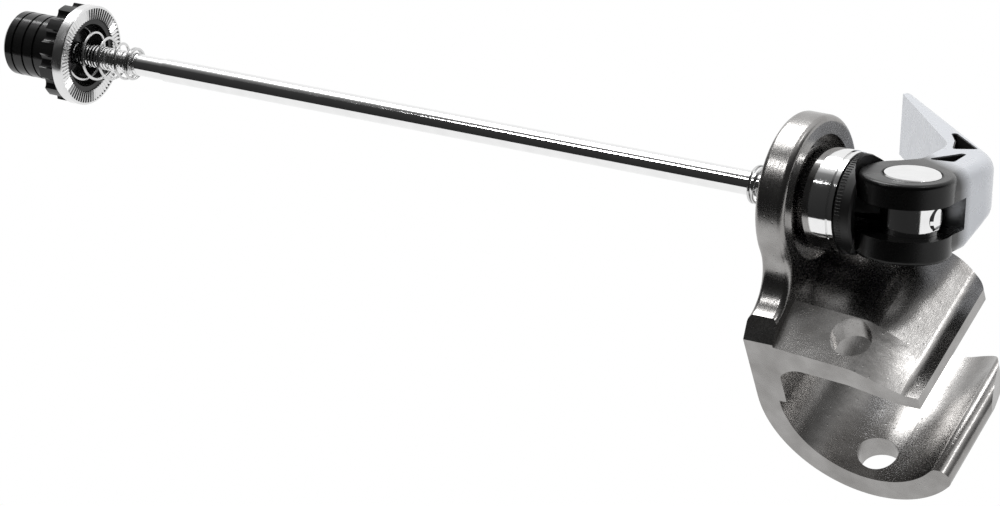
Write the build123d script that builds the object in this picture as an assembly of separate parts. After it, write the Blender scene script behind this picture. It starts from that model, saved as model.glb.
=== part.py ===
from build123d import *
import math
import os

# Quick-release trailer axle: a 5 mm skewer with an external cam lever at one end, a ribbed thumb nut at the
# other, and a cast hitch bracket clamped under the lever. Lengths are in millimetres and angles in degrees.
#
# Frame: the skewer lies along X, with the lever at +X and the nut at -X. Z is up on the hitch bracket, and Y
# is the way its pin clevis runs. The origin is on the skewer's axis, in the face of the bracket's eye that
# lies against the bicycle frame.

# ------------------------------------------------------------------------------------ fits
running_gap = 0.05
seat_gap = 0.1

# ------------------------------------------------------------------------------------ skewer
rod_radius = 2.5
rod_shank_radius = 2.3
rod_thread_radius = 2.4
rod_end_chamfer = 0.5
rod_step_x = -151.3
rod_thread_end_x = -158.2
rod_stub_height = 0.1

# ------------------------------------------------------------------------------------ lever head and barrel
barrel_x = 25.7
barrel_radius = 5.9
barrel_chamfer = 0.4
barrel_stand = 0.15
lever_turn = 29.0
head_height = 16.2
head_slot_height = 6.4
head_slot_end_y = 6.8
head_edge_round = 0.9
cam_radius = 9.5
cam_offset = 1.0

# Lever arm: plan corners are measured from the barrel's axis, with x outboard and y along the arm
neck_root_x = 8.3
neck_root_y = 1.0
neck_outer_x = 9.2
neck_inner_x = -3.2
neck_start_y = 11.0
neck_inner_end_y = 23.4
bend_outer_y = 21.0
tip_outer_x = -26.8
tip_outer_y = 57.4
tip_inner_x = -28.2
tip_inner_y = 53.8
neck_throat_x = -7.4
neck_throat_y = 5.6
bend_outer_round = 15.0
bend_inner_round = 9.0
neck_inner_round = 4.0
arm_height = 13.0
arm_step_start_y = 9.0
arm_step_end_y = 17.0
arm_outer_round = 3.0
upright_edge_share = 0.9
pocket_depth = 9.5
pocket_round = 0.7
arm_pocket_corners = ((-9.5, 36.0), (2.8, 24.2), (-1.5, 21.0), (-3.8, 27.0))
neck_pocket_corners = ((-2.5, 11.2), (2.9, 12.6), (2.4, 21.3))

# ------------------------------------------------------------------------------------ cam washer and collar
washer_radius = 9.9
washer_rim_thickness = 3.9
washer_centre_thickness = 0.95
washer_saddle_radius = 12.0
washer_edge_chamfer = 0.4
cam_gap = 0.45
collar_radius = 10.3
collar_lip_radius = 10.15
collar_lip_width = 0.9
collar_groove_width = 0.4
collar_groove_depth = 0.5
collar_nose_radius = 8.6
collar_nose_length = 3.2
collar_nose_swell_length_share = 0.3
collar_nose_swell_rise_share = 0.6
collar_spigot_wall = 0.8
collar_spigot_length = 2.8
collar_counterbore_depth = 6.4

# ------------------------------------------------------------------------------------ hitch bracket
eye_radius = 16.2
eye_thickness = 6.4
eye_bore_radius = 6.6
eye_edge_round = 1.2
recess_radius = 12.5
recess_depth = 3.4
clevis_front_y = -28.0
clevis_ramp_end_y = -17.0
clevis_back_y = 8.0
cup_outer_radius = 22.2
cup_centre_z = -30.0
cup_wall = 4.8
cup_end_angle = -40.0
flange_top_z = -11.6
flange_thickness = 4.6
flange_crest_x = 22.8
flange_crest_fall = 2.2
flange_hook_x = 33.6
flange_hook_z = -20.6
flange_tip_x = 36.6
flange_tip_thickness = 2.8
flange_crest_round = 7.0
flange_hook_round = 4.0
flange_front_fall = 2.6
cup_corner_round = 6.0
clevis_far_corner_round = 9.0
clevis_side_inset = 2.2
clevis_back_inset = 3.6
flank_round = 8.1
flank_back_round = 5.0
flank_top_z = -10.8
clevis_pin_x = 20.2
clevis_pin_y = -21.4
clevis_pin_radius = 4.1

# ------------------------------------------------------------------------------------ lever-side spring
spring_wire = 0.7
lever_spring_large_radius = 5.2
lever_spring_small_radius = 3.6
lever_spring_end_x = -8.6
lever_spring_turns = 4.5

# ------------------------------------------------------------------------------------ thumb nut
nut_face_x = -171.5
ring_radius = 10.9
ring_thickness = 2.6
ring_tooth_count = 72
ring_tooth_depth = 0.35
ring_tooth_land_radius = 10.4
ring_notch_share = 0.9
nut_hub_radius = 8.0
nut_hub_setback = 0.5
nut_hub_wall = 1.1
nut_recess_depth = 4.4
nut_flange_radius = 10.7
nut_flange_length = 3.4
nut_lobe_count = 12
nut_lobe_cut_radius = 1.7
nut_lobe_cut_depth = 1.1
nut_barrel_radius = 7.0
nut_barrel_length = 13.0
nut_groove_count = 3
nut_groove_pitch = 2.8
nut_groove_first = 2.4
nut_groove_width = 0.5
nut_groove_depth = 0.5
nut_end_chamfer = 0.7
rod_end_inset = 2.6
insert_radius = 4.2
insert_length = 3.0
nut_spring_wire = 0.6
nut_spring_large_radius = 5.9
nut_spring_small_radius = 3.3
nut_spring_end_x = -159.0
nut_spring_turns = 4.0
spring_end_turns = 1.5
spring_closed_pitch = 1.05
spring_wire_sides = 8
spring_steps_per_turn = 12

# ------------------------------------------------------------------------------------ derived places
cup_centre_x = cup_outer_radius
cup_inner_radius = cup_outer_radius - cup_wall
recess_floor_x = eye_thickness - recess_depth
cam_face_x = barrel_x - cam_offset - cam_radius
washer_centre_x = cam_face_x - cam_gap
collar_face_x = washer_centre_x - washer_centre_thickness
collar_spigot_radius = eye_bore_radius - running_gap
collar_counterbore_radius = collar_spigot_radius - collar_spigot_wall
collar_seat_x = recess_floor_x + seat_gap
nut_flange_x = nut_face_x - ring_thickness - seat_gap
nut_barrel_x = nut_flange_x - nut_flange_length
nut_end_x = nut_barrel_x - nut_barrel_length
nut_recess_x = nut_face_x - nut_recess_depth
rod_start_x = nut_end_x + rod_end_inset
rod_stub_x = barrel_x + barrel_radius + rod_stub_height
nut_bore_radius = rod_thread_radius + running_gap

# The lever's own frame: origin on the barrel, local x outboard along the skewer, local z along the barrel
lever_frame = Plane(origin=(barrel_x, 0, 0), x_dir=(1, 0, 0),
                    z_dir=(0, math.sin(math.radians(lever_turn)), math.cos(math.radians(lever_turn))))


def turned(*profile):
    """A solid turned about the skewer's axis from (x, radius) points."""
    outline = make_face(Polyline(*[(x, r, 0) for x, r in profile], close=True))
    return revolve(outline, axis=Axis.X)


def disc_along_x(start_x, end_x, radius):
    """A cylinder on the skewer's axis."""
    return Plane.YZ.offset((start_x + end_x) / 2) * Cylinder(radius, end_x - start_x)


# ------------------------------------------------------------------------------------ skewer
def make_rod():
    """The skewer: threaded end in the nut, necked shank, plain rod and the stub riveted in the barrel."""
    return turned(
        (rod_start_x, 0),
        (rod_start_x, rod_thread_radius - rod_end_chamfer),
        (rod_start_x + rod_end_chamfer, rod_thread_radius),
        (rod_thread_end_x, rod_thread_radius),
        (rod_thread_end_x, rod_shank_radius),
        (rod_step_x, rod_shank_radius),
        (rod_step_x, rod_radius),
        (rod_stub_x - rod_end_chamfer, rod_radius),
        (rod_stub_x, rod_radius - rod_end_chamfer),
        (rod_stub_x, 0),
    )


def make_barrel():
    """The cross pin that the lever turns on, with its ends chamfered and the skewer's hole through it."""
    length = head_height + 2 * barrel_stand
    pin = Cylinder(barrel_radius, length)
    pin = chamfer(pin.edges(), barrel_chamfer)
    return lever_frame * pin - disc_along_x(barrel_x - cam_radius, barrel_x + cam_radius, rod_radius)


# ------------------------------------------------------------------------------------ lever
def arm_plan():
    """The arm's plan: a straight neck beside the head, then a bend back along the clamped parts."""
    plan = make_face(Polyline(
        (neck_root_x, neck_root_y, 0),
        (neck_outer_x, bend_outer_y, 0),
        (tip_outer_x, tip_outer_y, 0),
        (tip_inner_x, tip_inner_y, 0),
        (neck_inner_x, neck_inner_end_y, 0),
        (neck_inner_x, neck_start_y, 0),
        (neck_throat_x, neck_throat_y, 0),
        close=True,
    ))
    rounds = (
        (neck_outer_x, bend_outer_y, bend_outer_round),
        (neck_inner_x, neck_inner_end_y, bend_inner_round),
        (neck_inner_x, neck_start_y, neck_inner_round),
    )
    for x, y, radius in rounds:
        corner = plan.vertices().sort_by_distance((x, y, 0))[0]
        plan = fillet(corner, radius)
    return plan


def on_outer_face(edge):
    """Whether an edge of the arm borders its outer face."""
    place = edge.center()
    along_neck = place.Y < bend_outer_y and place.X > cam_radius / 2 and place.Y > neck_root_y
    along_arm = place.Y > bend_outer_y and place.X + place.Y > neck_inner_end_y + cam_radius / 2
    return along_neck or along_arm


def make_arm():
    """The arm: level with the head on top, stepped up under the neck, with a crowned outer face."""
    top = head_height / 2
    arm_bottom = top - arm_height
    blank = Pos(0, 0, -top) * extrude(arm_plan(), head_height)
    reach = cam_radius + tip_outer_y
    under_arm = make_face(Polyline(
        (0, arm_step_start_y, -top),
        (0, arm_step_end_y, arm_bottom),
        (0, reach, arm_bottom),
        (0, reach, -head_height),
        (0, arm_step_start_y, -head_height),
        close=True,
    ))
    arm = blank - extrude(under_arm, reach, both=True)
    crowned = [edge for edge in arm.edges()
               if on_outer_face(edge) and abs(edge.tangent_at(0.5).Z) < upright_edge_share
               and edge.length > arm_outer_round / 2
               and edge.center().X + edge.center().Y < tip_outer_x + tip_outer_y + arm_outer_round]
    return fillet(crowned, arm_outer_round)


def pocket(*corners):
    """A lightening pocket sunk into the top of the lever from a plan of corners."""
    plan = make_face(Polyline(*[(x, y, 0) for x, y in corners], close=True))
    plan = fillet(plan.vertices(), pocket_round)
    return Pos(0, 0, head_height / 2 - pocket_depth) * extrude(plan, pocket_depth + seat_gap)


def make_lever():
    """The forged lever: two cam flanges either side of the skewer's slot, the neck and the crowned arm."""
    head = Cylinder(cam_radius, head_height)
    head = Pos(-cam_offset, 0, 0) * fillet(head.edges(), head_edge_round)
    slot_depth = head_slot_end_y + 2 * cam_radius
    slot = Pos(0, head_slot_end_y - slot_depth / 2, 0) * Box(4 * cam_radius, slot_depth, head_slot_height)
    bore = Cylinder(barrel_radius + running_gap, 2 * head_height)
    body = make_arm() + head - slot - bore
    body -= pocket(*arm_pocket_corners)
    body -= pocket(*neck_pocket_corners)
    return lever_frame * body


# ------------------------------------------------------------------------------------ clamping parts
def make_collar():
    """The steel collar: a spigot in the bracket's bore, a rounded nose and a thin lip by the cam washer."""
    spigot_x = collar_seat_x - collar_spigot_length
    nose_end_x = collar_seat_x + collar_nose_length
    lip_x = collar_face_x - collar_lip_width
    groove_x = lip_x - collar_groove_width
    floor_x = spigot_x + collar_counterbore_depth
    bore_radius = rod_radius + running_gap
    swell_x = collar_seat_x + collar_nose_length * collar_nose_swell_length_share
    swell_radius = collar_nose_radius + (collar_radius - collar_nose_radius) * collar_nose_swell_rise_share
    nose = ThreePointArc(
        (collar_seat_x, collar_nose_radius, 0),
        (swell_x, swell_radius, 0),
        (nose_end_x, collar_radius, 0),
    )
    rest = Polyline(
        (nose_end_x, collar_radius, 0),
        (groove_x, collar_radius, 0),
        (groove_x, collar_radius - collar_groove_depth, 0),
        (lip_x, collar_radius - collar_groove_depth, 0),
        (lip_x, collar_lip_radius, 0),
        (collar_face_x, collar_lip_radius, 0),
        (collar_face_x, bore_radius, 0),
        (floor_x, bore_radius, 0),
        (floor_x, collar_counterbore_radius, 0),
        (spigot_x, collar_counterbore_radius, 0),
        (spigot_x, collar_spigot_radius, 0),
        (collar_seat_x, collar_spigot_radius, 0),
        (collar_seat_x, collar_nose_radius, 0),
    )
    return revolve(make_face([nose, rest]), axis=Axis.X)


def make_washer():
    """The black washer the cam bears on: flat on the collar, hollowed to a saddle along the barrel."""
    rim_x = collar_face_x + washer_rim_thickness
    disc = disc_along_x(collar_face_x, rim_x, washer_radius)
    disc = chamfer(disc.edges(), washer_edge_chamfer)
    saddle_x = washer_centre_x + washer_saddle_radius - barrel_x
    saddle = lever_frame * Pos(saddle_x, 0, 0) * Cylinder(washer_saddle_radius, 4 * washer_radius)
    bore = disc_along_x(collar_face_x - washer_rim_thickness, rim_x + washer_rim_thickness,
                        rod_radius + running_gap)
    return disc - saddle - bore


# ------------------------------------------------------------------------------------ springs
def coil(start_x, start_radius, end_x, end_radius, wire, turns, end_turns):
    """A conical spring with closed turns at its small end."""
    closed_length = end_turns * wire * spring_closed_pitch
    direction = 1 if end_x > start_x else -1
    open_length = abs(end_x - start_x) - closed_length - wire
    first_x = start_x + direction * wire / 2
    path = []
    total = turns + end_turns
    for i in range(round(total * spring_steps_per_turn) + 1):
        turn = i / spring_steps_per_turn
        open_part = min(turn / turns, 1)
        closed_part = max(turn - turns, 0) / end_turns
        x = first_x + direction * (open_length * open_part + closed_length * closed_part)
        radius = start_radius + (end_radius - start_radius) * open_part
        angle = 2 * math.pi * turn
        path.append((x, radius * math.cos(angle), radius * math.sin(angle)))
    wire_path = Spline(*path)
    section = Plane(origin=wire_path @ 0, z_dir=wire_path % 0) * RegularPolygon(wire / 2, spring_wire_sides)
    return sweep(section, path=wire_path, is_frenet=True)


# ------------------------------------------------------------------------------------ hitch bracket
def cup_section(fall):
    """The clevis in section along the skewer: flange, back wall and upturned lower wall.

    The flange's top is lowered by the fall, and its hooked outer end stays put.
    """
    top_z = flange_top_z - fall
    crest_z = top_z - flange_crest_fall
    slope = flange_crest_fall / flange_crest_x
    under_z = top_z - flange_thickness
    rise = math.sqrt(cup_inner_radius ** 2 - (under_z - slope * cup_centre_x / 2 - cup_centre_z) ** 2)
    inner_x = cup_centre_x - rise
    end = math.radians(cup_end_angle)
    middle_radius = (cup_outer_radius + cup_inner_radius) / 2
    outer_end = (cup_centre_x + cup_outer_radius * math.cos(end),
                 cup_centre_z + cup_outer_radius * math.sin(end))
    inner_end = (cup_centre_x + cup_inner_radius * math.cos(end),
                 cup_centre_z + cup_inner_radius * math.sin(end))
    lip_end = (cup_centre_x + middle_radius * math.cos(end) - cup_wall / 2 * math.sin(end),
               cup_centre_z + middle_radius * math.sin(end) + cup_wall / 2 * math.cos(end))
    inner_start_z = cup_centre_z + math.sqrt(cup_inner_radius ** 2 - rise ** 2)
    edges = [
        Line((0, cup_centre_z), (0, top_z)),
        Line((0, top_z), (flange_crest_x, crest_z)),
        Line((flange_crest_x, crest_z), (flange_hook_x, flange_hook_z)),
        Line((flange_hook_x, flange_hook_z), (flange_tip_x, flange_hook_z)),
        Line((flange_tip_x, flange_hook_z), (flange_tip_x, flange_hook_z - flange_tip_thickness)),
        Line((flange_tip_x, flange_hook_z - flange_tip_thickness),
             (flange_hook_x - flange_tip_thickness / 2, flange_hook_z - flange_tip_thickness)),
        Line((flange_hook_x - flange_tip_thickness / 2, flange_hook_z - flange_tip_thickness),
             (flange_crest_x - flange_tip_thickness / 2, crest_z - flange_thickness)),
        Line((flange_crest_x - flange_tip_thickness / 2, crest_z - flange_thickness),
             (inner_x, inner_start_z)),
        ThreePointArc((inner_x, inner_start_z), (cup_centre_x - cup_inner_radius, cup_centre_z),
                      (cup_centre_x, cup_centre_z - cup_inner_radius)),
        ThreePointArc((cup_centre_x, cup_centre_z - cup_inner_radius),
                      (cup_centre_x + cup_inner_radius * math.cos(end / 2 - math.pi / 4),
                       cup_centre_z + cup_inner_radius * math.sin(end / 2 - math.pi / 4)), inner_end),
        ThreePointArc(inner_end, lip_end, outer_end),
        ThreePointArc(outer_end, (cup_centre_x, cup_centre_z - cup_outer_radius), (0, cup_centre_z)),
    ]
    section = make_face(edges)
    rounds = (
        (flange_crest_x, crest_z, flange_crest_round),
        (flange_hook_x, flange_hook_z, flange_hook_round),
        (flange_crest_x - flange_tip_thickness / 2, crest_z - flange_thickness, flange_crest_round / 2),
        (flange_hook_x - flange_tip_thickness / 2, flange_hook_z - flange_tip_thickness, flange_crest_round),
        (inner_x, inner_start_z, cup_corner_round),
    )
    for x, z, radius in rounds:
        corner = section.vertices().sort_by_distance((x, z, 0))[0]
        section = fillet(corner, radius)
    return section


def at_y(y, section):
    """An (x, z) section stood up at the given y."""
    return Plane.XZ.offset(-y) * section


def plate_outline():
    """The eye and the web that flares from it down to the clevis, as a (y, z) plan."""
    front_z = flank_top_z + flank_round
    front_y = -math.sqrt((eye_radius + flank_round) ** 2 - front_z ** 2)
    back_y = clevis_back_y + flank_back_round
    back_z = -math.sqrt((eye_radius + flank_back_round) ** 2 - back_y ** 2)
    front_share = eye_radius / (eye_radius + flank_round)
    back_share = eye_radius / (eye_radius + flank_back_round)
    web = make_face(Polyline(
        (clevis_front_y, cup_centre_z, 0),
        (clevis_front_y, flange_top_z - flange_front_fall, 0),
        (front_y, flank_top_z, 0),
        (front_share * front_y, front_share * front_z, 0),
        (0, 0, 0),
        (back_share * back_y, back_share * back_z, 0),
        (clevis_back_y, back_z, 0),
        (clevis_back_y, cup_centre_z, 0),
        close=True,
    ))
    return web + Circle(eye_radius) - Pos(front_y, front_z) * Circle(flank_round) \
        - Pos(back_y, back_z) * Circle(flank_back_round)


def make_bracket():
    """The cast hitch bracket: the eye clamped on the skewer and the clevis that takes the tow bar's pin."""
    main = cup_section(0)
    front = cup_section(flange_front_fall)
    far_x = cup_centre_x + cup_outer_radius
    cup = extrude(at_y(clevis_back_y, main), clevis_back_y - clevis_ramp_end_y)
    cup += loft([at_y(clevis_ramp_end_y, main), at_y(clevis_front_y, front)], ruled=True)
    lip_x = cup_centre_x + cup_outer_radius * math.cos(math.radians(cup_end_angle))
    plan = make_face(Polyline(
        (-eye_radius, clevis_front_y, 0),
        (far_x, clevis_front_y, 0),
        (far_x - clevis_side_inset, clevis_ramp_end_y, 0),
        (lip_x - clevis_back_inset, clevis_back_y, 0),
        (-eye_radius, clevis_back_y, 0),
        close=True,
    ))
    far_corner = plan.vertices().sort_by_distance((lip_x - clevis_back_inset, clevis_back_y, 0))[0]
    plan = fillet(far_corner, clevis_far_corner_round)
    cup &= Pos(0, 0, -2 * far_x) * extrude(plan, 4 * far_x)

    plate = extrude(Plane.YZ * plate_outline(), eye_thickness)
    eye_rims = [edge for edge in plate.edges()
                if edge.geom_type == GeomType.CIRCLE and abs(edge.radius - eye_radius) < seat_gap]
    flanks = [edge for edge in plate.edges()
              if edge.geom_type == GeomType.CIRCLE and abs(edge.radius - eye_radius) > seat_gap]
    plate = fillet(eye_rims + flanks, eye_edge_round)
    body = cup + plate

    recess = disc_along_x(recess_floor_x, recess_floor_x + recess_radius, recess_radius)
    bore = disc_along_x(-eye_thickness, 2 * eye_thickness, eye_bore_radius)
    pin = Cylinder(clevis_pin_radius, 4 * cup_outer_radius)
    pin_hole = Pos(clevis_pin_x, clevis_pin_y, cup_centre_z) * pin
    return body - recess - bore - pin_hole


# ------------------------------------------------------------------------------------ thumb nut
def make_ring():
    """The steel ring that bites on the frame, with radial teeth on its face and a plain band behind."""
    ring = disc_along_x(nut_face_x - ring_thickness, nut_face_x, ring_radius)
    ring = chamfer(ring.edges(), ring_tooth_depth / 2)
    ring -= disc_along_x(nut_flange_x, nut_face_x + ring_thickness, nut_hub_radius + running_gap)
    half_notch = math.pi * nut_hub_radius / ring_tooth_count * ring_notch_share
    notch = make_face(Polyline(
        (nut_face_x - ring_tooth_depth, 0, 0),
        (nut_face_x, -half_notch, 0),
        (nut_face_x, half_notch, 0),
        close=True,
    ))
    notch = Pos(0, 0, nut_hub_radius) * extrude(notch, ring_tooth_land_radius - nut_hub_radius)
    pitch = 360 / ring_tooth_count
    return ring - [Rot(pitch * tooth, 0, 0) * notch for tooth in range(ring_tooth_count)]


def make_nut():
    """The ribbed thumb nut: hub for the ring, dished face, lobed flange and a grooved barrel."""
    nut = turned(
        (nut_face_x - nut_hub_setback, 0),
        (nut_face_x - nut_hub_setback, nut_hub_radius),
        (nut_flange_x, nut_hub_radius),
        (nut_flange_x, nut_flange_radius),
        (nut_barrel_x, nut_flange_radius),
        (nut_barrel_x, nut_barrel_radius),
        (nut_end_x + nut_end_chamfer, nut_barrel_radius),
        (nut_end_x, nut_barrel_radius - nut_end_chamfer),
        (nut_end_x, 0),
    )
    for groove in range(nut_groove_count):
        groove_x = nut_end_x + nut_groove_first + groove * nut_groove_pitch
        cutter = disc_along_x(groove_x, groove_x + nut_groove_width, nut_barrel_radius + seat_gap)
        cutter -= disc_along_x(groove_x, groove_x + nut_groove_width, nut_barrel_radius - nut_groove_depth)
        nut -= cutter
    lobe_cut_y = nut_flange_radius - nut_lobe_cut_depth + nut_lobe_cut_radius
    lobe_cut = Pos(0, lobe_cut_y) * Circle(nut_lobe_cut_radius)
    lobe_cut = extrude(Plane.YZ.offset(nut_barrel_x) * lobe_cut, nut_flange_length)
    nut -= [Rot(360 / nut_lobe_count * lobe, 0, 0) * lobe_cut for lobe in range(nut_lobe_count)]
    nut -= disc_along_x(nut_recess_x, nut_face_x, nut_hub_radius - nut_hub_wall)
    nut -= disc_along_x(nut_end_x - insert_length, nut_face_x, nut_bore_radius)
    return nut - disc_along_x(nut_end_x - insert_length, nut_end_x + insert_length, insert_radius)


def make_insert():
    """The nylon ring pressed in the nut's end to grip the thread."""
    return disc_along_x(nut_end_x, nut_end_x + insert_length, insert_radius) \
        - disc_along_x(nut_end_x, nut_end_x + insert_length, nut_bore_radius)


def make_lever_spring():
    """The coil that holds the bracket off the lever's collar while the skewer is loose."""
    seat_x = collar_seat_x - collar_spigot_length + collar_counterbore_depth - seat_gap
    return coil(seat_x, lever_spring_large_radius, lever_spring_end_x, lever_spring_small_radius,
                spring_wire, lever_spring_turns, spring_end_turns)


def make_nut_spring():
    """The conical coil that centres the nut's end of the skewer in the hub."""
    return coil(nut_recess_x + seat_gap, nut_spring_large_radius, nut_spring_end_x, nut_spring_small_radius,
                nut_spring_wire, nut_spring_turns, spring_end_turns)


pieces = {
    "skewer_rod": make_rod(),
    "pivot_barrel": make_barrel(),
    "cam_lever": make_lever(),
    "cam_washer": make_washer(),
    "hitch_collar": make_collar(),
    "lever_spring": make_lever_spring(),
    "hitch_bracket": make_bracket(),
    "serrated_ring": make_ring(),
    "thumb_nut": make_nut(),
    "lock_insert": make_insert(),
    "nut_spring": make_nut_spring(),
}

os.makedirs("parts", exist_ok=True)
for name, shape in pieces.items():
    export_step(shape, f"parts/{name}.step")
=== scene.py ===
"""Looks for a quick-release trailer axle: a cam lever, a skewer, a thumb nut and a cast hitch bracket."""
import math

import bpy
from mathutils import Matrix, Vector


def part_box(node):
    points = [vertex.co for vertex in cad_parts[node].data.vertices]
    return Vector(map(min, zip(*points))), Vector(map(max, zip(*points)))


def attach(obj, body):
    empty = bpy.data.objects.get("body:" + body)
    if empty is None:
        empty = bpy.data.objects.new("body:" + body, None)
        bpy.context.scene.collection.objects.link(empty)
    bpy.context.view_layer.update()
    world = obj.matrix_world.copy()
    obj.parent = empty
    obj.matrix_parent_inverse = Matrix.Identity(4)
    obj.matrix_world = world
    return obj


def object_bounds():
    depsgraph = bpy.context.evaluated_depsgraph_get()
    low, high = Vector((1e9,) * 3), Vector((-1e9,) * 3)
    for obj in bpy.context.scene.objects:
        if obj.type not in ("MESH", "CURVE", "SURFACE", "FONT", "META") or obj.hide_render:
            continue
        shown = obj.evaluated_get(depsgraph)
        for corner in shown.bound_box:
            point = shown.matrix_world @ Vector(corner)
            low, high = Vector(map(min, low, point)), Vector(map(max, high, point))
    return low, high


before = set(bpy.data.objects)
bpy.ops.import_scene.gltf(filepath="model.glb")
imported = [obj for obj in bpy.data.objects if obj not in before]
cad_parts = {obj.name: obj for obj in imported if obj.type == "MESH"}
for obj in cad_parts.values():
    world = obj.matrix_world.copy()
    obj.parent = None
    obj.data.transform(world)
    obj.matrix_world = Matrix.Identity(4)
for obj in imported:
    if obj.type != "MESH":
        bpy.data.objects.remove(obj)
cad_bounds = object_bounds()

# Fine forms are written in millimetres and lit in metres
MM = 0.001

# The room has a white wall behind the object, a dim ceiling, and is dark on the other sides
SKY_BRIGHT_WAY = (-0.15, 0.90, 0.42)
SKY_TONES = [(0.0, (0.02, 0.02, 0.02)), (0.60, (0.04, 0.04, 0.04)), (0.78, (0.22, 0.22, 0.22)),
             (0.87, (1.0, 1.0, 1.0)), (1.0, (1.0, 1.0, 1.0))]
SKY_STRENGTH = 1.0

# Soft boxes: name, place, aim, side and power, in metres and watts
LAMPS = (
    ("key", (0.42, 0.58, 0.76), (0.0, 0, 0), 0.13, 0.75),
    ("top", (-0.50, 0.60, 0.72), (0, 0, 0), 0.50, 7.0),
    ("front", (-0.52, -0.18, 0.90), (-0.08, 0, 0), 0.14, 1.1),
)

FLOOR_SIDE = 6.0
FLOOR_DROP = 0.12
FLOOR_TONE = (0.85, 0.85, 0.85, 1)
FLOOR_ROUGHNESS = 0.9

# The camera's place in millimetres, and the ways of its right side and its back
CAMERA_PLACE = (338.85, -487.11, 518.75)
CAMERA_RIGHT = (0.8527, 0.4715, -0.2248)
CAMERA_BACK = (0.4906, -0.575, 0.6548)
CAMERA_LENS = 144.0
CAMERA_SENSOR = 36.0
CAMERA_CLIP_START = 0.05
CAMERA_CLIP_END = 20.0

# The lever's arm runs this way from the barrel, and its black skin fades to a painted grey sheen between
# these places, where light falls on the arm
LEVER_TURN = math.radians(29)
LEVER_ALONG = Vector((0.0, math.cos(LEVER_TURN), -math.sin(LEVER_TURN)))
LEVER_ACROSS = Vector((0.0, math.sin(LEVER_TURN), math.cos(LEVER_TURN)))
LEVER_SHEEN_OUTWARD_SHARE = 0.6
LEVER_BLACK_END = 6.0
LEVER_SHEEN_START = 14.0

# The rolled thread: its crest and its flanks are shares of the pitch either side of a turn's middle
THREAD_PITCH = 0.8
THREAD_CREST = 2.5
THREAD_ROOT = 2.38
THREAD_STEPS = 24
THREAD_CREST_SHARE = 0.06
THREAD_FLANK_SHARE = 0.42
THREAD_START_INSET = 0.6
THREAD_PAST_SPRING = 1.0

# Fine ribs on the cam washer's edge, between two distances from the washer's flat face
KNURL_COUNT = 96
KNURL_HEIGHT = 0.14
KNURL_SINK = 0.1
KNURL_RIB_SHARE = 0.62
KNURL_START = 0.5
KNURL_END = 1.6

# The dark line round the barrel's end, at the top of the lever's head
HEAD_TOP = 8.1
SEAT_INNER = 5.93
SEAT_OUTER = 6.12
SEAT_RISE = 0.02
SEAT_SINK = 0.1
SEAT_STEPS = 64

# Dark trays of painted shade inside the lever's pockets: plans in the lever's frame, outwards and along
# the arm
POCKET_TOP = 7.9
POCKET_FLOOR = -1.35
POCKET_ROUND = 0.7
SHADE_TRAY_GAP = 0.05
SHADE_TRAY_WALL = 0.2
SHADE_TRAY_STEPS = 4
POCKET_PLANS = {
    "arm_pocket_painted_shade": ((-9.5, 36.0), (2.8, 24.2), (-1.5, 21.0), (-3.8, 27.0)),
    "neck_pocket_painted_shade": ((-2.5, 11.2), (2.9, 12.6), (2.4, 21.3)),
}

barrel_low, barrel_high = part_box("pivot_barrel")
barrel_middle = Vector([(a + b) / 2 for a, b in zip(barrel_low, barrel_high)]) / MM


# ---------------------------------------------------------------------------- material helpers
def new_material(name):
    """A material with a Principled shader; returns the material, its nodes, its links and the shader."""
    material = bpy.data.materials.new(name)
    material.use_nodes = True
    tree = material.node_tree
    return material, tree.nodes, tree.links, tree.nodes["Principled BSDF"]


def object_coordinates(nodes, links, stretch=(1, 1, 1)):
    """Object coordinates, stretched along the axes."""
    place = nodes.new("ShaderNodeTexCoord")
    scale = nodes.new("ShaderNodeMapping")
    scale.inputs["Scale"].default_value = stretch
    links.new(place.outputs["Object"], scale.inputs["Vector"])
    return scale.outputs["Vector"]


def noise(nodes, links, vector, size_mm, detail, rough=0.5):
    """Noise with features of about the given size."""
    texture = nodes.new("ShaderNodeTexNoise")
    texture.inputs["Scale"].default_value = 1 / (size_mm * MM)
    texture.inputs["Detail"].default_value = detail
    texture.inputs["Roughness"].default_value = rough
    links.new(vector, texture.inputs["Vector"])
    return texture.outputs["Fac"]


def ramp(nodes, links, source, stops):
    """A colour ramp over (position, colour) stops."""
    band = nodes.new("ShaderNodeValToRGB")
    elements = band.color_ramp.elements
    while len(elements) < len(stops):
        elements.new(0.5)
    for element, (position, colour) in zip(elements, stops):
        element.position = position
        element.color = (*colour, 1)
    links.new(source, band.inputs["Fac"])
    return band.outputs["Color"]


def grey(level):
    """A neutral linear colour."""
    return (level, level, level)


def bump(nodes, links, height, depth_mm, strength, under=None):
    """A bump of the given depth, over another one if given."""
    node = nodes.new("ShaderNodeBump")
    node.inputs["Distance"].default_value = depth_mm * MM
    node.inputs["Strength"].default_value = strength
    links.new(height, node.inputs["Height"])
    if under is not None:
        links.new(under, node.inputs["Normal"])
    return node.outputs["Normal"]


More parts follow.
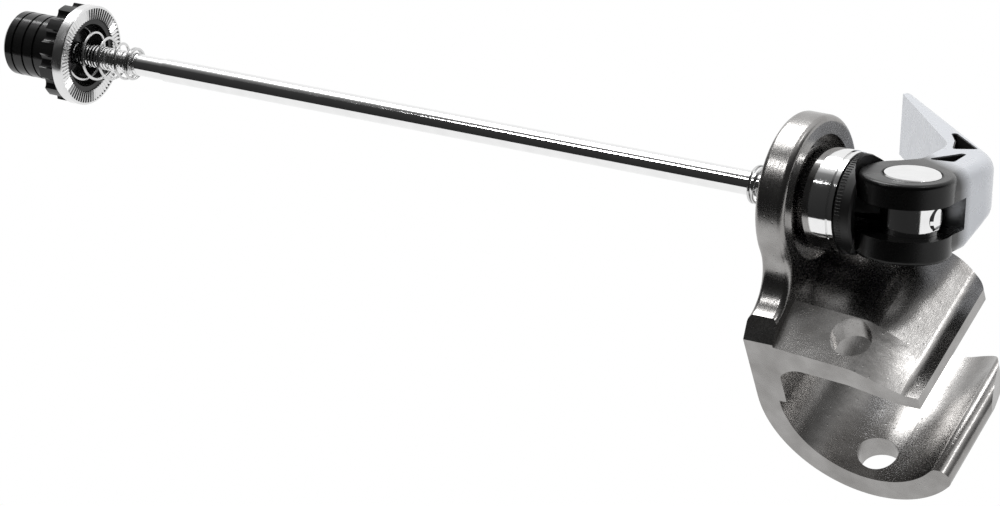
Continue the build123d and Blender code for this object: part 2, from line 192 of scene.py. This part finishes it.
# ---------------------------------------------------------------------------- materials
def cast_steel():
    """Tumbled cast stainless steel: soft lumps, fine pits, a few scratches and duller patches."""
    material, nodes, links, shader = new_material("cast_steel")
    place = object_coordinates(nodes, links)
    lumps = noise(nodes, links, place, size_mm=5.0, detail=3.0)
    grain = noise(nodes, links, place, size_mm=0.5, detail=5.0, rough=0.65)
    pits = nodes.new("ShaderNodeTexVoronoi")
    pits.inputs["Scale"].default_value = 1 / (1.6 * MM)
    links.new(place, pits.inputs["Vector"])
    pit_shape = ramp(nodes, links, pits.outputs["Distance"], [(0.0, grey(0.0)), (0.16, grey(1.0))])
    scratch_place = object_coordinates(nodes, links, (6, 1, 1))
    scratches = noise(nodes, links, scratch_place, size_mm=1.4, detail=2.0, rough=0.4)
    lumpy = bump(nodes, links, lumps, depth_mm=0.22, strength=0.35)
    grained = bump(nodes, links, grain, depth_mm=0.012, strength=0.18, under=lumpy)
    scratched = bump(nodes, links, scratches, depth_mm=0.02, strength=0.4, under=grained)
    pitted = bump(nodes, links, pit_shape, depth_mm=0.05, strength=0.5, under=scratched)
    links.new(pitted, shader.inputs["Normal"])
    tone = ramp(nodes, links, lumps, [(0.3, (0.27, 0.262, 0.255)), (0.7, (0.37, 0.362, 0.355))])
    links.new(tone, shader.inputs["Base Color"])
    gloss = ramp(nodes, links, grain, [(0.3, grey(0.22)), (0.75, grey(0.32))])
    links.new(gloss, shader.inputs["Roughness"])
    shader.inputs["Metallic"].default_value = 1.0
    return material


def polished(name, level, gloss, line_stretch=(1, 1, 1), line_depth=0.01):
    """Turned and polished metal with faint lathe lines and finger marks."""
    material, nodes, links, shader = new_material(name)
    place = object_coordinates(nodes, links)
    marks = noise(nodes, links, place, size_mm=3.0, detail=3.0)
    lines = noise(nodes, links, object_coordinates(nodes, links, line_stretch), size_mm=0.8, detail=3.0)
    links.new(bump(nodes, links, lines, line_depth, strength=0.5), shader.inputs["Normal"])
    tone = ramp(nodes, links, marks, [(0.3, grey(level * 0.94)), (0.7, grey(level))])
    links.new(tone, shader.inputs["Base Color"])
    smooth = ramp(nodes, links, marks, [(0.3, grey(gloss)), (0.75, grey(gloss * 1.8))])
    links.new(smooth, shader.inputs["Roughness"])
    shader.inputs["Metallic"].default_value = 1.0
    return material


def coated(name, level, gloss, metallic, grain_mm=0.25, depth_mm=0.012):
    """A coated or moulded skin with a fine grain."""
    material, nodes, links, shader = new_material(name)
    place = object_coordinates(nodes, links)
    grain = noise(nodes, links, place, grain_mm, detail=3.0)
    patches = noise(nodes, links, place, size_mm=4.0, detail=2.0)
    links.new(bump(nodes, links, grain, depth_mm, strength=0.6), shader.inputs["Normal"])
    tone = ramp(nodes, links, patches, [(0.3, grey(level * 0.9)), (0.7, grey(level))])
    links.new(tone, shader.inputs["Base Color"])
    smooth = ramp(nodes, links, patches, [(0.3, grey(gloss)), (0.75, grey(gloss * 1.25))])
    links.new(smooth, shader.inputs["Roughness"])
    shader.inputs["Metallic"].default_value = metallic
    return material


def lever_painted_sheen():
    """Black on the cam head, fading along the neck to a painted satin grey sheen on the arm, where light
    falls on the black skin.
    """
    material, nodes, links, shader = new_material("lever_metal")
    place = object_coordinates(nodes, links)
    grain = noise(nodes, links, place, size_mm=0.25, detail=3.0)
    links.new(bump(nodes, links, grain, depth_mm=0.010, strength=0.5), shader.inputs["Normal"])
    along = nodes.new("ShaderNodeVectorMath")
    along.operation = "DOT_PRODUCT"
    along.inputs[1].default_value = LEVER_ALONG + Vector((LEVER_SHEEN_OUTWARD_SHARE, 0, 0))
    links.new(place, along.inputs[0])
    outward_shift = LEVER_SHEEN_OUTWARD_SHARE * barrel_middle.x
    share = nodes.new("ShaderNodeMapRange")
    share.inputs["From Min"].default_value = (LEVER_BLACK_END + outward_shift) * MM
    share.inputs["From Max"].default_value = (LEVER_SHEEN_START + outward_shift) * MM
    links.new(along.outputs["Value"], share.inputs["Value"])
    # Painted sheen: further along the arm and further outwards the black skin turns light grey, where
    # light falls on it
    tone = ramp(nodes, links, share.outputs["Result"],
                [(0.0, grey(0.012)), (0.4, grey(0.06)), (1.0, (0.64, 0.66, 0.70))])
    links.new(tone, shader.inputs["Base Color"])
    patches = noise(nodes, links, place, size_mm=4.0, detail=2.0)
    smooth = ramp(nodes, links, patches, [(0.3, grey(0.24)), (0.75, grey(0.32))])
    links.new(smooth, shader.inputs["Roughness"])
    shader.inputs["Metallic"].default_value = 0.55
    return material


steel_cast = cast_steel()
steel_bright = polished("bright_steel", level=0.86, gloss=0.05, line_stretch=(1, 0.05, 0.05))
steel_ring = polished("ring_steel", level=0.78, gloss=0.16, line_stretch=(1, 0.05, 0.05), line_depth=0.02)
steel_wire = polished("spring_wire", level=0.66, gloss=0.14)
lever_skin_with_sheen = lever_painted_sheen()
black_matt = coated("black_metal", level=0.012, gloss=0.42, metallic=0.0, grain_mm=0.2, depth_mm=0.02)
black_gloss = coated("nut_black", level=0.03, gloss=0.13, metallic=0.5)
nylon_skin = coated("nylon", level=0.72, gloss=0.45, metallic=0.0)

finishes = {
    "skewer_rod": steel_bright,
    "pivot_barrel": steel_bright,
    "cam_lever": lever_skin_with_sheen,
    "cam_washer": black_matt,
    "hitch_collar": steel_bright,
    "lever_spring": steel_wire,
    "hitch_bracket": steel_cast,
    "serrated_ring": steel_ring,
    "thumb_nut": black_gloss,
    "lock_insert": nylon_skin,
    "nut_spring": steel_wire,
}
for node, finish in finishes.items():
    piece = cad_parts[node]
    piece.data.materials.clear()
    piece.data.materials.append(finish)


# ---------------------------------------------------------------------------- fine forms
def mesh_piece(name, vertices, faces, material, body):
    """A mesh piece from points in millimetres, riding on a body."""
    mesh = bpy.data.meshes.new(name)
    mesh.from_pydata([(x * MM, y * MM, z * MM) for x, y, z in vertices], [], faces)
    mesh.materials.append(material)
    for polygon in mesh.polygons:
        polygon.use_smooth = False
    fine_form = bpy.data.objects.new(name, mesh)
    bpy.context.scene.collection.objects.link(fine_form)
    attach(fine_form, body)


def lever_point(outward, along, across):
    """A place in the lever's frame, which starts in the barrel's middle, as x, y and z in millimetres."""
    return tuple(barrel_middle + Vector((outward, 0, 0)) + LEVER_ALONG * along + LEVER_ACROSS * across)


def seat_line():
    """The dark line where the barrel's end sits in the lever's head."""
    section = ((SEAT_INNER, HEAD_TOP + SEAT_RISE), (SEAT_OUTER, HEAD_TOP + SEAT_RISE),
               (SEAT_OUTER, HEAD_TOP - SEAT_SINK), (SEAT_INNER, HEAD_TOP - SEAT_SINK))
    vertices = []
    faces = []
    for i in range(SEAT_STEPS):
        angle = 2 * math.pi * i / SEAT_STEPS
        for radius, height in section:
            vertices.append(lever_point(radius * math.cos(angle), radius * math.sin(angle), height))
        k = 4 * i
        n = 4 * ((i + 1) % SEAT_STEPS)
        for a, b in ((0, 1), (1, 2), (2, 3), (3, 0)):
            faces.append((k + a, k + b, n + b, n + a))
    mesh_piece("barrel_seat_line", vertices, faces, black_matt, "lever")


def inset_plan(corners, inset):
    """The outline of a pocket, moved inwards by the inset and with its corners rounded."""
    points = [Vector(corner) for corner in corners]
    area = sum(a.x * b.y - b.x * a.y for a, b in zip(points, points[1:] + points[:1]))
    if area < 0:
        points.reverse()
    count = len(points)
    ways = [(points[(i + 1) % count] - points[i]).normalized() for i in range(count)]
    inwards = [Vector((-way.y, way.x)) for way in ways]
    outline = []
    for i in range(count):
        before, after = ways[i - 1], ways[i]
        bend = before.x * after.y - before.y * after.x
        bend_angle = math.atan2(bend, before.dot(after))
        side = 1 if bend > 0 else -1
        radius = POCKET_ROUND - side * inset
        reach = (inwards[i - 1] + inwards[i]) / (1 + before.dot(after))
        centre = points[i] + reach * (inset + side * radius)
        start = -side * inwards[i - 1] * radius
        for step in range(SHADE_TRAY_STEPS + 1):
            angle = bend_angle * step / SHADE_TRAY_STEPS
            outline.append(centre + Vector((start.x * math.cos(angle) - start.y * math.sin(angle),
                                            start.x * math.sin(angle) + start.y * math.cos(angle))))
    return outline


def pocket_painted_shade(name, corners):
    """Painted shade inside a pocket in the lever: a thin dark tray with walls and a floor."""
    outer = inset_plan(corners, SHADE_TRAY_GAP)
    inner = inset_plan(corners, SHADE_TRAY_GAP + SHADE_TRAY_WALL)
    count = len(outer)
    rings = ((outer, POCKET_FLOOR), (outer, POCKET_TOP), (inner, POCKET_TOP),
             (inner, POCKET_FLOOR + SHADE_TRAY_WALL))
    vertices = [lever_point(point.x, point.y, height) for plan, height in rings for point in plan]
    faces = []
    for ring in range(len(rings) - 1):
        base = ring * count
        for i in range(count):
            n = (i + 1) % count
            faces.append((base + i, base + n, base + count + n, base + count + i))
    faces.append(tuple(reversed(range(count))))
    faces.append(tuple(range(3 * count, 4 * count)))
    mesh_piece(name, vertices, faces, black_matt, "lever")


def thread(start_x, end_x):
    """The rolled thread: a V ridge wound along the rod, fading out over a turn at each end."""
    turns = (end_x - start_x) / THREAD_PITCH - 1
    rings = int(turns * THREAD_STEPS)
    vertices = []
    faces = []
    for i in range(rings + 1):
        angle = 2 * math.pi * i / THREAD_STEPS
        x = start_x + THREAD_PITCH * (i / THREAD_STEPS + 0.5)
        fade = min(1.0, i / THREAD_STEPS, (rings - i) / THREAD_STEPS)
        crest = THREAD_ROOT + (THREAD_CREST - THREAD_ROOT) * fade
        section = ((-THREAD_FLANK_SHARE, THREAD_ROOT), (-THREAD_CREST_SHARE, crest),
                   (THREAD_CREST_SHARE, crest), (THREAD_FLANK_SHARE, THREAD_ROOT))
        for share, radius in section:
            vertices.append((x + share * THREAD_PITCH, radius * math.cos(angle), radius * math.sin(angle)))
    for i in range(rings):
        for k in range(3):
            a = 4 * i + k
            faces.append((a, a + 1, a + 5, a + 4))
        faces.append((4 * i + 3, 4 * i, 4 * i + 4, 4 * i + 7))
    faces.append((3, 2, 1, 0))
    last = 4 * rings
    faces.append((last, last + 1, last + 2, last + 3))
    mesh_piece("rod_thread", vertices, faces, steel_bright, "skewer")


def knurl(start_x, end_x, radius):
    """Fine straight ribs around the cam washer's edge."""
    half = math.pi / KNURL_COUNT * KNURL_RIB_SHARE
    vertices = []
    faces = []
    for rib in range(KNURL_COUNT):
        middle = 2 * math.pi * rib / KNURL_COUNT
        base = len(vertices)
        for x in (start_x, end_x):
            for angle, r in ((middle - half, radius - KNURL_SINK), (middle, radius + KNURL_HEIGHT),
                             (middle + half, radius - KNURL_SINK)):
                vertices.append((x, r * math.cos(angle), r * math.sin(angle)))
        faces += [(base, base + 1, base + 4, base + 3), (base + 1, base + 2, base + 5, base + 4),
                  (base + 2, base, base + 3, base + 5), (base + 2, base + 1, base),
                  (base + 3, base + 4, base + 5)]
    mesh_piece("washer_knurl", vertices, faces, black_matt, "clamp")


seat_line()
# Painted shade: dark trays inside the lever's pockets
for pocket_name, pocket_corners in POCKET_PLANS.items():
    pocket_painted_shade(pocket_name, pocket_corners)
rod_low, rod_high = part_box("skewer_rod")
spring_low, spring_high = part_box("nut_spring")
thread(rod_low[0] / MM + THREAD_START_INSET, spring_high[0] / MM + THREAD_PAST_SPRING)
washer_low, washer_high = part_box("cam_washer")
washer_face_x = washer_low[0] / MM
knurl(washer_face_x + KNURL_START, washer_face_x + KNURL_END, washer_high[2] / MM)


# ---------------------------------------------------------------------------- camera
def set_camera():
    """The scene's camera, standing square on the ways given for its right side and its back."""
    right = Vector(CAMERA_RIGHT).normalized()
    back = Vector(CAMERA_BACK)
    back = (back - back.dot(right) * right).normalized()
    up = back.cross(right)
    data = bpy.data.cameras.new("camera")
    data.lens = CAMERA_LENS
    data.sensor_width = CAMERA_SENSOR
    data.clip_start = CAMERA_CLIP_START
    data.clip_end = CAMERA_CLIP_END
    camera = bpy.data.objects.new("camera", data)
    turn = Matrix((right, up, back)).transposed().to_4x4()
    camera.matrix_world = Matrix.Translation(Vector(CAMERA_PLACE) * MM) @ turn
    bpy.context.scene.collection.objects.link(camera)
    bpy.context.scene.camera = camera


set_camera()


# ---------------------------------------------------------------------------- floor, world and lamps
def flat_stage(name, side, place, material):
    """A square stage plane."""
    half = side / 2
    mesh = bpy.data.meshes.new(name)
    corners = [(-half, -half, 0), (half, -half, 0), (half, half, 0), (-half, half, 0)]
    mesh.from_pydata(corners, [], [(0, 1, 2, 3)])
    plane = bpy.data.objects.new(name, mesh)
    plane.location = place
    mesh.materials.append(material)
    bpy.context.scene.collection.objects.link(plane)


def backdrop_mix(nodes, links, plain, white, seen_by):
    """White to camera rays and the kind of ray named, and the plain shader to everything else."""
    path = nodes.new("ShaderNodeLightPath")
    either = nodes.new("ShaderNodeMath")
    either.operation = "MAXIMUM"
    links.new(path.outputs["Is Camera Ray"], either.inputs[0])
    links.new(path.outputs[seen_by], either.inputs[1])
    mix = nodes.new("ShaderNodeMixShader")
    links.new(either.outputs["Value"], mix.inputs["Fac"])
    links.new(plain, mix.inputs[1])
    links.new(white, mix.inputs[2])
    return mix.outputs["Shader"]


def floor_material():
    """A pale floor that shows as plain white."""
    material, nodes, links, shader = new_material("floor")
    shader.inputs["Base Color"].default_value = FLOOR_TONE
    shader.inputs["Roughness"].default_value = FLOOR_ROUGHNESS
    glow = nodes.new("ShaderNodeEmission")
    glow.inputs["Strength"].default_value = 1.0
    surface = backdrop_mix(nodes, links, shader.outputs["BSDF"], glow.outputs["Emission"], "Is Glossy Ray")
    links.new(surface, nodes["Material Output"].inputs["Surface"])
    return material


def set_world():
    """A sky toned by its turn from the bright wall, which shows as plain white behind the object."""
    world = bpy.data.worlds.new("world")
    bpy.context.scene.world = world
    world.use_nodes = True
    nodes = world.node_tree.nodes
    links = world.node_tree.links
    plain_sky = nodes["Background"]
    place = nodes.new("ShaderNodeTexCoord")
    turn = nodes.new("ShaderNodeVectorMath")
    turn.operation = "DOT_PRODUCT"
    turn.inputs[1].default_value = Vector(SKY_BRIGHT_WAY).normalized()
    links.new(place.outputs["Generated"], turn.inputs[0])
    share = nodes.new("ShaderNodeMapRange")
    share.inputs["From Min"].default_value = -1.0
    share.inputs["From Max"].default_value = 1.0
    links.new(turn.outputs["Value"], share.inputs["Value"])
    links.new(ramp(nodes, links, share.outputs["Result"], SKY_TONES), plain_sky.inputs["Color"])
    plain_sky.inputs["Strength"].default_value = SKY_STRENGTH
    white_sky = nodes.new("ShaderNodeBackground")
    white_sky.inputs["Color"].default_value = (1, 1, 1, 1)
    white_sky.inputs["Strength"].default_value = 1.0
    surface = backdrop_mix(nodes, links, plain_sky.outputs["Background"], white_sky.outputs["Background"],
                           "Is Transmission Ray")
    links.new(surface, nodes["World Output"].inputs["Surface"])


def soft_lamp(name, place, aim, side, power):
    """A square soft box aimed at a point."""
    data = bpy.data.lights.new(name, "AREA")
    data.shape = "SQUARE"
    data.size = side
    data.energy = power
    lamp = bpy.data.objects.new(name, data)
    lamp.location = place
    lamp.rotation_euler = (Vector(aim) - Vector(place)).to_track_quat("-Z", "Y").to_euler()
    bpy.context.scene.collection.objects.link(lamp)


cad_low, cad_high = cad_bounds
flat_stage("floor", FLOOR_SIDE, (0, 0, cad_low[2] - FLOOR_DROP), floor_material())
set_world()
for lamp_name, lamp_place, lamp_aim, lamp_side, lamp_power in LAMPS:
    soft_lamp(lamp_name, lamp_place, lamp_aim, lamp_side, lamp_power)

# ---------------------------------------------------------------------------- view settings
bpy.context.scene.view_settings.view_transform = "Standard"
